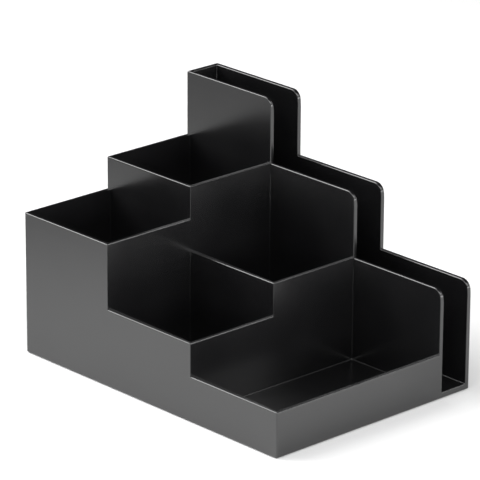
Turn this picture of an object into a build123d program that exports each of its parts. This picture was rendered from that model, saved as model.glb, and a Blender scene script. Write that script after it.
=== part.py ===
"""Stepped desk organizer: a moulded body with four cells, a wide tray and a letter slot, on four rubber feet.

The body is one injection moulding. Its rows A, B and C follow each other along +X, from the tall left end to
the low right end. Its front column, middle column and letter slot follow each other along +Y, from the front
face to the back. Row C has no divider between its front and middle columns, so it is one wide tray. The
letter slot runs along the whole back and is open at the top and at its right end.

The origin is at the middle of the footprint, on the desk. +X is along the front face, +Y to the back, +Z up.
"""

import os

from build123d import *

# Driving dimensions, in millimetres.
cell_length = 51.3  # clear length of each row, along X
cell_width = 46.0  # clear width of the front column and of the middle column, along Y
slot_width = 14.6  # clear width of the letter slot
outer_wall = 2.0  # the walls round the outside
inner_wall = 1.8  # the walls between the cells
floor_thickness = 1.8
skirt_depth = 1.0  # how far the outer walls reach below the floor's underside

tray_height = 20.5  # rim of the tray above the skirt's lower edge
front_rise = 15.0  # rim of row B's front cell above the tray's rim
row_rise = 30.0  # row A's rims above row B's
column_rise = 15.0  # the middle column's rims above the front column's
slot_rise = 29.7  # the letter slot's walls above the rims beside them

slot_corner_radius = 4.5  # the free top corners of the letter slot's walls
outer_corner_radius = 0.6  # the upright outside corners
skirt_edge_radius = 0.5  # the outside lower edge
cell_corner_radius = 0.5  # the inside corners of the cells, upright and along the floor

foot_diameter = 10.0
foot_stand = 0.4  # how far a foot stands below the skirt
foot_edge_radius = 0.3
foot_clearance = 0.2  # gap between a foot and its locating ring
ring_width = 1.0
ring_height = 0.6
ring_margin = 4.8  # from a locating ring to the outer walls beside it

gate_well_diameter = 6.0  # the shallow well that keeps the moulding's gate mark off the desk
gate_well_depth = 0.5
gate_mark_diameter = 1.6
gate_mark_height = 0.3

# Plan of the walls, from the corner where the left end meets the front face.
row_pitch = cell_length + inner_wall
column_pitch = cell_width + inner_wall
length = 2 * (row_pitch + outer_wall) + cell_length
row_starts = [0.0, outer_wall + row_pitch, outer_wall + 2 * row_pitch]
row_ends = row_starts[1:] + [length]
cell_lefts = [outer_wall] + row_starts[1:]
cell_fronts = [outer_wall, outer_wall + column_pitch, outer_wall + 2 * column_pitch]
column_starts = [0.0] + [front - inner_wall for front in cell_fronts[1:]]
width = cell_fronts[2] + slot_width + outer_wall
column_ends = column_starts[1:] + [width]

# Heights above the desk.
skirt_bottom = foot_stand
floor_bottom = skirt_bottom + skirt_depth
floor_top = floor_bottom + floor_thickness
tray_rim = skirt_bottom + tray_height
front_rims = [tray_rim + front_rise + row_rise, tray_rim + front_rise, tray_rim]
middle_rims = [front_rims[0] + column_rise, front_rims[1] + column_rise, tray_rim]
slot_rims = [rim + slot_rise for rim in middle_rims]
rims = [front_rims, middle_rims, slot_rims]
clear_above = slot_rims[0] + slot_rise

# Feet, by name and centre.
foot_inset = outer_wall + ring_margin + ring_width + foot_clearance + foot_diameter / 2
feet = {
    "foot_front_left": (foot_inset, foot_inset),
    "foot_front_right": (length - foot_inset, foot_inset),
    "foot_rear_left": (foot_inset, width - foot_inset),
    "foot_rear_right": (length - foot_inset, width - foot_inset),
}


def box(x0, x1, y0, y1, z0, z1):
    """A box between two corners."""
    return Pos(x0, y0, z0) * Box(x1 - x0, y1 - y0, z1 - z0, align=Align.MIN)


def disc(x, y, diameter, z0, z1):
    """An upright cylinder."""
    return Pos(x, y, z0) * Cylinder(diameter / 2, z1 - z0, align=(Align.CENTER, Align.CENTER, Align.MIN))


def stepped_block():
    """The outside of the body as a solid, one block for each row of each column."""
    block = Part()
    for column, heights in enumerate(rims):
        for row, rim in enumerate(heights):
            plan = (row_starts[row], row_ends[row], column_starts[column], column_ends[column])
            block += box(*plan, skirt_bottom, rim)
    corners = [(0, 0), (0, width), (length, 0)]
    near = outer_wall / 4
    upright = [
        edge
        for edge in block.edges().filter_by(Axis.Z)
        for x, y in corners
        if abs(edge.center().X - x) < near and abs(edge.center().Y - y) < near
    ]
    block = fillet(upright, outer_corner_radius)
    return fillet(block.edges().group_by(Axis.Z)[0], skirt_edge_radius)


def cell_space(x0, x1, y0, y1, open_right=False):
    """The space of a cell, up past every rim, rounded along its floor and its upright corners."""
    space = box(x0, x1, y0, y1, floor_top, clear_above)
    upright = space.edges().filter_by(Axis.Z)
    along_floor = space.edges().group_by(Axis.Z)[0]
    if open_right:
        upright = upright.group_by(Axis.X)[0]
        along_floor = [edge for group in along_floor.group_by(Axis.X)[:-1] for edge in group]
    return fillet(upright + along_floor, cell_corner_radius)


def corner_web(row, column, z0, z1):
    """The rounding of a cell's left back corner above its own rim, where both of its walls rise higher."""
    x = row_starts[row]
    y = column_ends[column]
    radius = cell_corner_radius
    return box(x, x + radius, y - radius, y, z0, z1) - disc(x + radius, y - radius, 2 * radius, z0, z1)


def organizer_body():
    """The moulding: the stepped block less its cells, tray and slot, with a recessed underside."""
    body = stepped_block()
    for row in (0, 1):
        for column in (0, 1):
            x = cell_lefts[row]
            y = cell_fronts[column]
            body -= cell_space(x, x + cell_length, y, y + cell_width)
    tray_left = cell_lefts[2]
    body -= cell_space(tray_left, tray_left + cell_length, outer_wall, column_starts[2])
    slot_front = cell_fronts[2]
    past_end = length + slot_width
    body -= cell_space(outer_wall, past_end, slot_front, slot_front + slot_width, open_right=True)

    near = inner_wall / 4
    free_corners = [
        edge
        for edge in body.edges().filter_by(Axis.Y)
        for end, rim in zip(row_ends, slot_rims)
        if abs(edge.center().X - end) < near and abs(edge.center().Z - rim) < near
    ]
    body = fillet(free_corners, slot_corner_radius)

    body += corner_web(1, 0, front_rims[1], middle_rims[1])
    body += corner_web(1, 1, middle_rims[1], middle_rims[0])
    body += corner_web(2, 1, middle_rims[2], middle_rims[1])

    inside_skirt = (outer_wall, length - outer_wall, outer_wall, width - outer_wall)
    body -= box(*inside_skirt, skirt_bottom, floor_bottom)
    hole = foot_diameter + 2 * foot_clearance
    for x, y in feet.values():
        ring = disc(x, y, hole + 2 * ring_width, floor_bottom - ring_height, floor_bottom)
        body += ring - disc(x, y, hole, floor_bottom - ring_height, floor_bottom)

    middle = (length / 2, width / 2)
    well_top = floor_bottom + gate_well_depth
    body -= disc(*middle, gate_well_diameter, floor_bottom, well_top)
    body += disc(*middle, gate_mark_diameter, well_top - gate_mark_height, well_top)
    return body


def foot(x, y):
    """One rubber foot: a disc stuck to the floor's underside, rounded round its sole."""
    pad = disc(x, y, foot_diameter, 0, floor_bottom)
    return fillet(pad.edges().group_by(Axis.Z)[0], foot_edge_radius)


def write(shape, name):
    """Moves a piece into the part's frame and writes it as one STEP file."""
    export_step(Pos(-length / 2, -width / 2, 0) * shape, "parts/" + name + ".step")


os.makedirs("parts", exist_ok=True)
write(organizer_body(), "organizer_body")
for name, place in feet.items():
    write(foot(*place), name)
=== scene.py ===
import math

import bmesh
import bpy
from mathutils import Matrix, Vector


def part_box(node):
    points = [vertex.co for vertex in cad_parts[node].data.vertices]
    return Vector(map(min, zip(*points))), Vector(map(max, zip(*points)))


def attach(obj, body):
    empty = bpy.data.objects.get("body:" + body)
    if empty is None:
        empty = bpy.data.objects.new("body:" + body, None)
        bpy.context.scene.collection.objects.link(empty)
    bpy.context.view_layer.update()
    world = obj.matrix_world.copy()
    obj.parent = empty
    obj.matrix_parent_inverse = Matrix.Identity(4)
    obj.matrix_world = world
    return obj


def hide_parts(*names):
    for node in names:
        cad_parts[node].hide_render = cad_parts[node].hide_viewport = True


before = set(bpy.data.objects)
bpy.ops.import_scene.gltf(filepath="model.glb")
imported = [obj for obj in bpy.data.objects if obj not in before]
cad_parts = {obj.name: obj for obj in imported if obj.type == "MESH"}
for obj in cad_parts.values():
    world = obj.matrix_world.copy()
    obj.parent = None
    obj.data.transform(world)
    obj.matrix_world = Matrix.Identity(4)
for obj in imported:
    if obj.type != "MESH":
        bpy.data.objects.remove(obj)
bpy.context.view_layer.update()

# ----------------------------------------------------------------------------------------------------
# Moulded body. One injection moulding in black polystyrene, with walls 2 mm thick outside and 1.8 mm
# between the cells. The cells step down from the tall left end to a wide tray, and a letter slot runs
# along the back. The mould leaves the walls smooth and rounds every edge a little.

MM = 0.001

outer_wall = 2.0 * MM
inner_wall = 1.8 * MM
cell_width = 46.0 * MM
floor_thickness = 1.8 * MM
skirt_depth = 1.0 * MM

tray_height = 20.5 * MM
front_rise = 15.0 * MM
row_rise = 30.0 * MM
column_rise = 15.0 * MM
slot_rise = 29.7 * MM

slot_corner_radius = 4.5 * MM
outer_corner_radius = 0.6 * MM
skirt_edge_radius = 0.5 * MM
cell_corner_radius = 0.5 * MM
rim_radius = 0.5 * MM
wall_end_radius = 0.12 * MM
slot_corner_steps = 10
edge_steps = 5
circle_steps = 64

# How closely two places, an edge and an axis, and a face and the level have to agree to count as the same.
near = 0.01 * MM
parallel = 0.999
level_face = 0.9
same_plane = math.radians(1)

low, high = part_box("organizer_body")
length = high.x - low.x
cell_length = (length - 2 * outer_wall - 2 * inner_wall) / 3
left = low.x
front = low.y
row_ends = [
    left + outer_wall + cell_length + inner_wall,
    left + outer_wall + 2 * (cell_length + inner_wall),
    high.x,
]
column_ends = [
    front + outer_wall + cell_width,
    front + outer_wall + 2 * cell_width + inner_wall,
    high.y,
]
floor_bottom = low.z + skirt_depth
floor_top = floor_bottom + floor_thickness
tray_rim = low.z + tray_height
front_rims = [tray_rim + front_rise + row_rise, tray_rim + front_rise, tray_rim]
middle_rims = [front_rims[0] + column_rise, front_rims[1] + column_rise, tray_rim]
slot_rims = [rim + slot_rise for rim in middle_rims]
rims = [front_rims, middle_rims, slot_rims]

inside_left = left + outer_wall
inside_front = front + outer_wall
middle_front = column_ends[0] + inner_wall
slot_front = column_ends[1] + inner_wall
spaces = [
    (inside_left, row_ends[0] - inner_wall, inside_front, column_ends[0]),
    (row_ends[0], row_ends[1] - inner_wall, inside_front, column_ends[0]),
    (inside_left, row_ends[0] - inner_wall, middle_front, column_ends[1]),
    (row_ends[0], row_ends[1] - inner_wall, middle_front, column_ends[1]),
    (row_ends[1], high.x - outer_wall, inside_front, column_ends[1]),
    (inside_left, high.x, slot_front, high.y - outer_wall),
]


def height_over(x, y):
    """The height of the moulding over a point of its plan: a wall's rim or the floor."""
    for x0, x1, y0, y1 in spaces:
        if x0 < x < x1 and y0 < y < y1:
            return floor_top
    row = sum(x > end for end in row_ends[:2])
    column = sum(y > end for end in column_ends[:2])
    return rims[column][row]


def pick(kind, wanted):
    """Selects the faces or edges of the mesh being edited that pass a test, and nothing else."""
    bpy.ops.mesh.select_mode(type=kind)
    bpy.ops.mesh.select_all(action="DESELECT")
    mesh = bpy.context.object.data
    editing = bmesh.from_edit_mesh(mesh)
    for item in editing.faces if kind == "FACE" else editing.edges:
        if wanted(item):
            item.select_set(True)
    bmesh.update_edit_mesh(mesh)


def finish_with(piece, kind, **settings):
    """Adds a modifier to a piece and applies it."""
    bpy.context.view_layer.objects.active = piece
    bpy.ops.object.modifier_add(type=kind)
    modifier = piece.modifiers[-1]
    for name, value in settings.items():
        setattr(modifier, name, value)
    bpy.ops.object.modifier_apply(modifier=modifier.name)


def cylinder(x, y, diameter, z0, z1):
    """Adds an upright cylinder."""
    bpy.ops.object.select_all(action="DESELECT")
    bpy.ops.mesh.primitive_cylinder_add(
        vertices=circle_steps, radius=diameter / 2, depth=z1 - z0, location=(x, y, (z0 + z1) / 2)
    )
    made = bpy.context.object
    bpy.ops.object.transform_apply(location=True, rotation=True, scale=True)
    return made


def cut_or_join(piece, tool, operation):
    """Cuts a tool's shape out of a piece, or joins it on, and removes the tool."""
    finish_with(piece, "BOOLEAN", object=tool, operation=operation, solver="EXACT")
    bpy.data.objects.remove(tool)


def middle_of(edge):
    """The middle of an edge."""
    return (edge.verts[0].co + edge.verts[1].co) / 2


def runs_along(edge, axis):
    """Whether an edge is straight along an axis: 0, 1 or 2."""
    along = (edge.verts[1].co - edge.verts[0].co).normalized()
    return abs(along[axis]) > parallel


bpy.ops.object.select_all(action="DESELECT")
bpy.ops.mesh.primitive_cube_add(size=1, location=(0, 0, (low.z + floor_top) / 2))
shell = bpy.context.object
shell.name = "moulded_body"
shell.scale = (length, high.y - low.y, floor_top - low.z)
bpy.ops.object.transform_apply(location=True, rotation=True, scale=True)
bpy.ops.object.mode_set(mode="EDIT")
for x in sorted({round(x, 6) for space in spaces for x in space[:2]}):
    bpy.ops.mesh.select_all(action="SELECT")
    bpy.ops.mesh.bisect(plane_co=(x, 0, 0), plane_no=(1, 0, 0))
for y in sorted({round(y, 6) for space in spaces for y in space[2:]}):
    bpy.ops.mesh.select_all(action="SELECT")
    bpy.ops.mesh.bisect(plane_co=(0, y, 0), plane_no=(0, 1, 0))
top = floor_top
for level in sorted({rim for column in rims for rim in column}):
    pick(
        "FACE",
        lambda face: face.normal.z > level_face
        and abs(face.calc_center_median().z - top) < near
        and height_over(*face.calc_center_median().xy) > level - near,
    )
    bpy.ops.mesh.extrude_region_move(TRANSFORM_OT_translate={"value": (0, 0, level - top)})
    top = level
bpy.ops.mesh.select_all(action="SELECT")
bpy.ops.mesh.dissolve_limited(angle_limit=same_plane)

pick("FACE", lambda face: face.normal.z < -level_face)
bpy.ops.mesh.inset(thickness=outer_wall)
bpy.ops.mesh.extrude_region_move(TRANSFORM_OT_translate={"value": (0, 0, skirt_depth)})

pick(
    "EDGE",
    lambda edge: runs_along(edge, 1)
    and any(
        abs(middle_of(edge).x - end) < near and abs(middle_of(edge).z - rim) < near
        for end, rim in zip(row_ends, slot_rims)
    ),
)
bpy.ops.mesh.bevel(offset=slot_corner_radius, segments=slot_corner_steps)
cuts = [(2, rim) for rim in sorted({rim for column in rims for rim in column})[:-1]]
cuts += [(0, x) for end in row_ends[:2] for x in (end - inner_wall, end)]
cuts += [(1, y) for end in column_ends[:2] for y in (end, end + inner_wall)]
for axis, position in cuts:
    plane = [0, 0, 0]
    plane[axis] = position
    across = [0, 0, 0]
    across[axis] = 1
    bpy.ops.mesh.select_all(action="SELECT")
    bpy.ops.mesh.bisect(plane_co=plane, plane_no=across)


# Edges that bend less than the first stay sharp, and a bevel weight of 1 stands for the second.
least_bend = math.radians(30)
widest_rounding = 1.0 * MM


def rounding(edge):
    """The radius that the mould gives an edge of the body."""
    if edge.calc_face_angle(0) < least_bend:
        return 0
    place = middle_of(edge)
    upright = runs_along(edge, 2)
    if not edge.is_convex:
        in_cell = upright or abs(place.z - floor_top) < near
        return cell_corner_radius if in_cell and place.z > floor_bottom else 0
    outer_corners = [(left, front), (left, high.y), (high.x, front)]
    if upright and any(abs(place.x - x) < near and abs(place.y - y) < near for x, y in outer_corners):
        return outer_corner_radius
    if upright:
        return wall_end_radius
    outside = max(abs(place.x) - high.x, abs(place.y) - high.y) > -near
    if place.z < low.z + near:
        return skirt_edge_radius if outside else wall_end_radius
    return rim_radius


editing = bmesh.from_edit_mesh(shell.data)
weight = editing.edges.layers.float.new("bevel_weight_edge")
for edge in editing.edges:
    edge[weight] = rounding(edge) / widest_rounding
bmesh.update_edit_mesh(shell.data)
bpy.ops.object.mode_set(mode="OBJECT")
finish_with(
    shell,
    "BEVEL",
    limit_method="WEIGHT",
    width=widest_rounding,
    segments=edge_steps,
    use_clamp_overlap=False,
    miter_outer="MITER_SHARP",
)

ring_height = 0.6 * MM
ring_width = 1.0 * MM
foot_clearance = 0.2 * MM
well_diameter = 6.0 * MM
well_depth = 0.5 * MM
gate_mark_diameter = 1.6 * MM
gate_mark_height = 0.3 * MM
overlap = 0.2 * MM

feet = [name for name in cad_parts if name.startswith("foot_")]
for name in feet:
    foot_low, foot_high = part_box(name)
    x, y = ((foot_low + foot_high) / 2).xy
    hole = foot_high.x - foot_low.x + 2 * foot_clearance
    ring = cylinder(x, y, hole + 2 * ring_width, floor_bottom - ring_height, floor_bottom + overlap)
    cut_or_join(ring, cylinder(x, y, hole, low.z, floor_bottom + 2 * overlap), "DIFFERENCE")
    cut_or_join(shell, ring, "UNION")
well_top = floor_bottom + well_depth
cut_or_join(shell, cylinder(0, 0, well_diameter, low.z, well_top), "DIFFERENCE")
gate_mark = cylinder(0, 0, gate_mark_diameter, well_top - gate_mark_height, well_top + overlap)
cut_or_join(shell, gate_mark, "UNION")

smooth_below = math.radians(25)
bpy.ops.object.select_all(action="DESELECT")
shell.select_set(True)
bpy.context.view_layer.objects.active = shell
bpy.ops.object.shade_smooth_by_angle(angle=smooth_below)
finish_with(shell, "WEIGHTED_NORMAL", keep_sharp=True)


class Signal:
    """A value that runs through a material's nodes, with the operators that its maths needs."""

    def __init__(self, tree, socket):
        self.tree = tree
        self.socket = socket

    def node(self, kind, settings=(), output=0, **values):
        """Adds a node, sets it up, and gives its sockets their values or links."""
        made = self.tree.nodes.new("ShaderNode" + kind)
        for name, value in dict(settings).items():
            setattr(made, name, value)
        for name, value in values.items():
            key = name.replace("_", " ")
            entry = made.inputs[int(key[1:])] if key[1:].isdigit() else made.inputs[key]
            if isinstance(value, Signal):
                self.tree.links.new(value.socket, entry)
            else:
                entry.default_value = value
        return Signal(self.tree, made.outputs[output])

    def feed(self, shader, name):
        """Links the value to one of a shader's sockets."""
        self.tree.links.new(self.socket, shader.inputs[name])

    def combine(self, operation, other):
        """Adds a maths node that works on this value and another value or number."""
        return self.node("Math", {"operation": operation}, i0=self, i1=other)

    def __add__(self, other):
        return self.combine("ADD", other)

    def __mul__(self, other):
        return self.combine("MULTIPLY", other)

    __radd__ = __add__
    __rmul__ = __mul__


def new_material(name, **constants):
    """Adds a material and gives its shader, the object's own coordinates, and the shader's constants."""
    material = bpy.data.materials.new(name)
    material.use_nodes = True
    tree = material.node_tree
    shader = tree.nodes["Principled BSDF"]
    for socket, value in constants.items():
        shader.inputs[socket.replace("_", " ")].default_value = value
    place = Signal(tree, tree.nodes.new("ShaderNodeTexCoord").outputs["Object"])
    return material, shader, place


plastic, skin, place = new_material("black_polystyrene", IOR=1.75)
cloud = place.node("TexNoise", Vector=place, Scale=62.0, Detail=0.0, Roughness=0.5)
flow = place.node(
    "TexNoise",
    Vector=place.node("Mapping", Vector=place, Scale=(1.0, 1.0, 0.35)),
    Scale=130.0,
    Detail=0.0,
    Roughness=0.4,
)
grain = place.node("TexNoise", Vector=place, Scale=2600.0, Detail=2.0, Roughness=0.6)
deep_black = (0.0042, 0.0042, 0.0046, 1)
soft_black = (0.0066, 0.0066, 0.0070, 1)
black = place.node("Mix", {"data_type": "RGBA"}, output=2, i0=cloud, i6=deep_black, i7=soft_black)
black.feed(skin, "Base Color")
gloss = 0.205 + 0.03 * cloud + 0.01 * flow + 0.01 * grain
gloss.feed(skin, "Roughness")
relief = 0.06 * MM * cloud + 0.008 * MM * flow + 0.0003 * MM * grain
bumped = place.node("Bump", Height=relief, Strength=1.0, Distance=1.0)
bumped.feed(skin, "Normal")
shell.data.materials.append(plastic)
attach(shell, "root")
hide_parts("organizer_body")

# ----------------------------------------------------------------------------------------------------
# Feet. Four discs of dark grey rubber, punched from sheet and stuck to the floor's underside inside
# the rings that locate them. The soles are matt and a little scuffed, with the fine grain of the sheet.

rubber, pad, place = new_material("foot_rubber", IOR=1.5)
scuffs = place.node("TexNoise", Vector=place, Scale=420.0, Detail=4.0, Roughness=0.65)
sheet_grain = place.node("TexVoronoi", Vector=place, Scale=2400.0)
clean_rubber = (0.022, 0.022, 0.022, 1)
scuffed_rubber = (0.05, 0.05, 0.048, 1)
grey = place.node("Mix", {"data_type": "RGBA"}, output=2, i0=scuffs, i6=clean_rubber, i7=scuffed_rubber)
grey.feed(pad, "Base Color")
matt = 0.62 + 0.2 * scuffs
matt.feed(pad, "Roughness")
pimples = 0.02 * MM * sheet_grain + 0.02 * MM * scuffs
rough = place.node("Bump", Height=pimples, Strength=1.0, Distance=1.0)
rough.feed(pad, "Normal")
for name in feet:
    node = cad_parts[name]
    node.data.materials.clear()
    node.data.materials.append(rubber)

# ----------------------------------------------------------------------------------------------------
# Studio. The organizer stands on seamless white paper. Far out on the camera's left the paper is painted
# grey, a painted shade that stands in for the light falling off there, so that the tall walls mirror it
# darker. Softboxes stand round it and the room is dark.

paper_size = 8
paper_below_feet = 0.02 * MM
camera_left = math.radians(133)
shade_starts = 0.12
shade_ends = 0.38
white_tone = (0.95, 0.95, 0.95, 1)
painted_shade_grey = (0.32, 0.32, 0.32, 1)

bpy.ops.object.select_all(action="DESELECT")
bpy.ops.mesh.primitive_plane_add(size=paper_size, location=(0, 0, -paper_below_feet))
ground = bpy.context.object
ground.name = "studio_floor"
bpy.ops.object.transform_apply(location=True, rotation=True, scale=True)
paper, surface, place = new_material("paper_with_painted_shade", Roughness=1.0, Specular_IOR_Level=0.0)
turned = place.node("Mapping", Vector=place, Rotation=(0, 0, camera_left))
to_the_left = place.node("SeparateXYZ", Vector=turned)
painted_shade_fade = place.node(
    "MapRange",
    {"interpolation_type": "SMOOTHSTEP"},
    Value=to_the_left,
    From_Min=shade_starts,
    From_Max=shade_ends,
)
# Painted shade: the paper's colour turns from white to grey towards the camera's left, standing in for the
# light falling off there.
paper_and_painted_shade = place.node("Mix", {"data_type": "RGBA"}, output=2, i0=painted_shade_fade, i6=white_tone, i7=painted_shade_grey)
paper_and_painted_shade.feed(surface, "Base Color")
ground.data.materials.append(paper)

distance = 1.6
aim_at = Vector((0, 0, 0.05))
watts_per_square_metre = 10
# Degrees round from the front and above the floor, degrees wide and tall from the organizer, brightness.
softboxes = {
    "key_softbox": (300, 33, 40, 26, 2.20),
    "overhead_softbox": (300, 62, 50, 26, 1.08),
    "camera_side_softbox": (45, 45, 50, 26, 1.22),
    "rear_softbox": (110, 36, 50, 24, 1.04),
    "low_strip_light": (90, 9, 90, 14, 1.74),
    "front_fill": (335, 12, 50, 16, 1.20),
}
for name, (round_from_front, above_floor, wide, tall, brightness) in softboxes.items():
    turn = math.radians(round_from_front)
    lift = math.radians(above_floor)
    outward = Vector((math.sin(turn) * math.cos(lift), -math.cos(turn) * math.cos(lift), math.sin(lift)))
    bpy.ops.object.light_add(type="AREA", location=aim_at + distance * outward)
    light = bpy.context.object
    light.name = name
    light.rotation_euler = (-outward).to_track_quat("-Z", "Y").to_euler()
    light.data.shape = "RECTANGLE"
    light.data.size = 2 * distance * math.tan(math.radians(wide / 2))
    light.data.size_y = 2 * distance * math.tan(math.radians(tall / 2))
    light.data.energy = watts_per_square_metre * brightness * light.data.size * light.data.size_y

world = bpy.data.worlds.new("dark_room")
bpy.context.scene.world = world
world.use_nodes = True
glow = world.node_tree.nodes["Background"]
glow.inputs["Color"].default_value = (1, 1, 1, 1)
glow.inputs["Strength"].default_value = 0.02

bpy.context.scene.view_settings.view_transform = "Standard"

camera_place = Vector((1.11603, -1.04022, 0.61816))
camera_target = Vector((-0.003078, -0.000495, 0.060237))
camera_roll = math.radians(0.300)
sensor_width = 36
focal_length = 281.38

lens = bpy.data.cameras.new("camera")
camera = bpy.data.objects.new("camera", lens)
bpy.context.scene.collection.objects.link(camera)
bpy.context.scene.camera = camera
lens.sensor_width = sensor_width
lens.lens = focal_length
camera.location = camera_place
aim = camera_target - camera_place
camera.rotation_euler = aim.to_track_quat("-Z", "Y").to_euler()
camera.rotation_euler.rotate_axis("Z", camera_roll)
lens.clip_end = 20
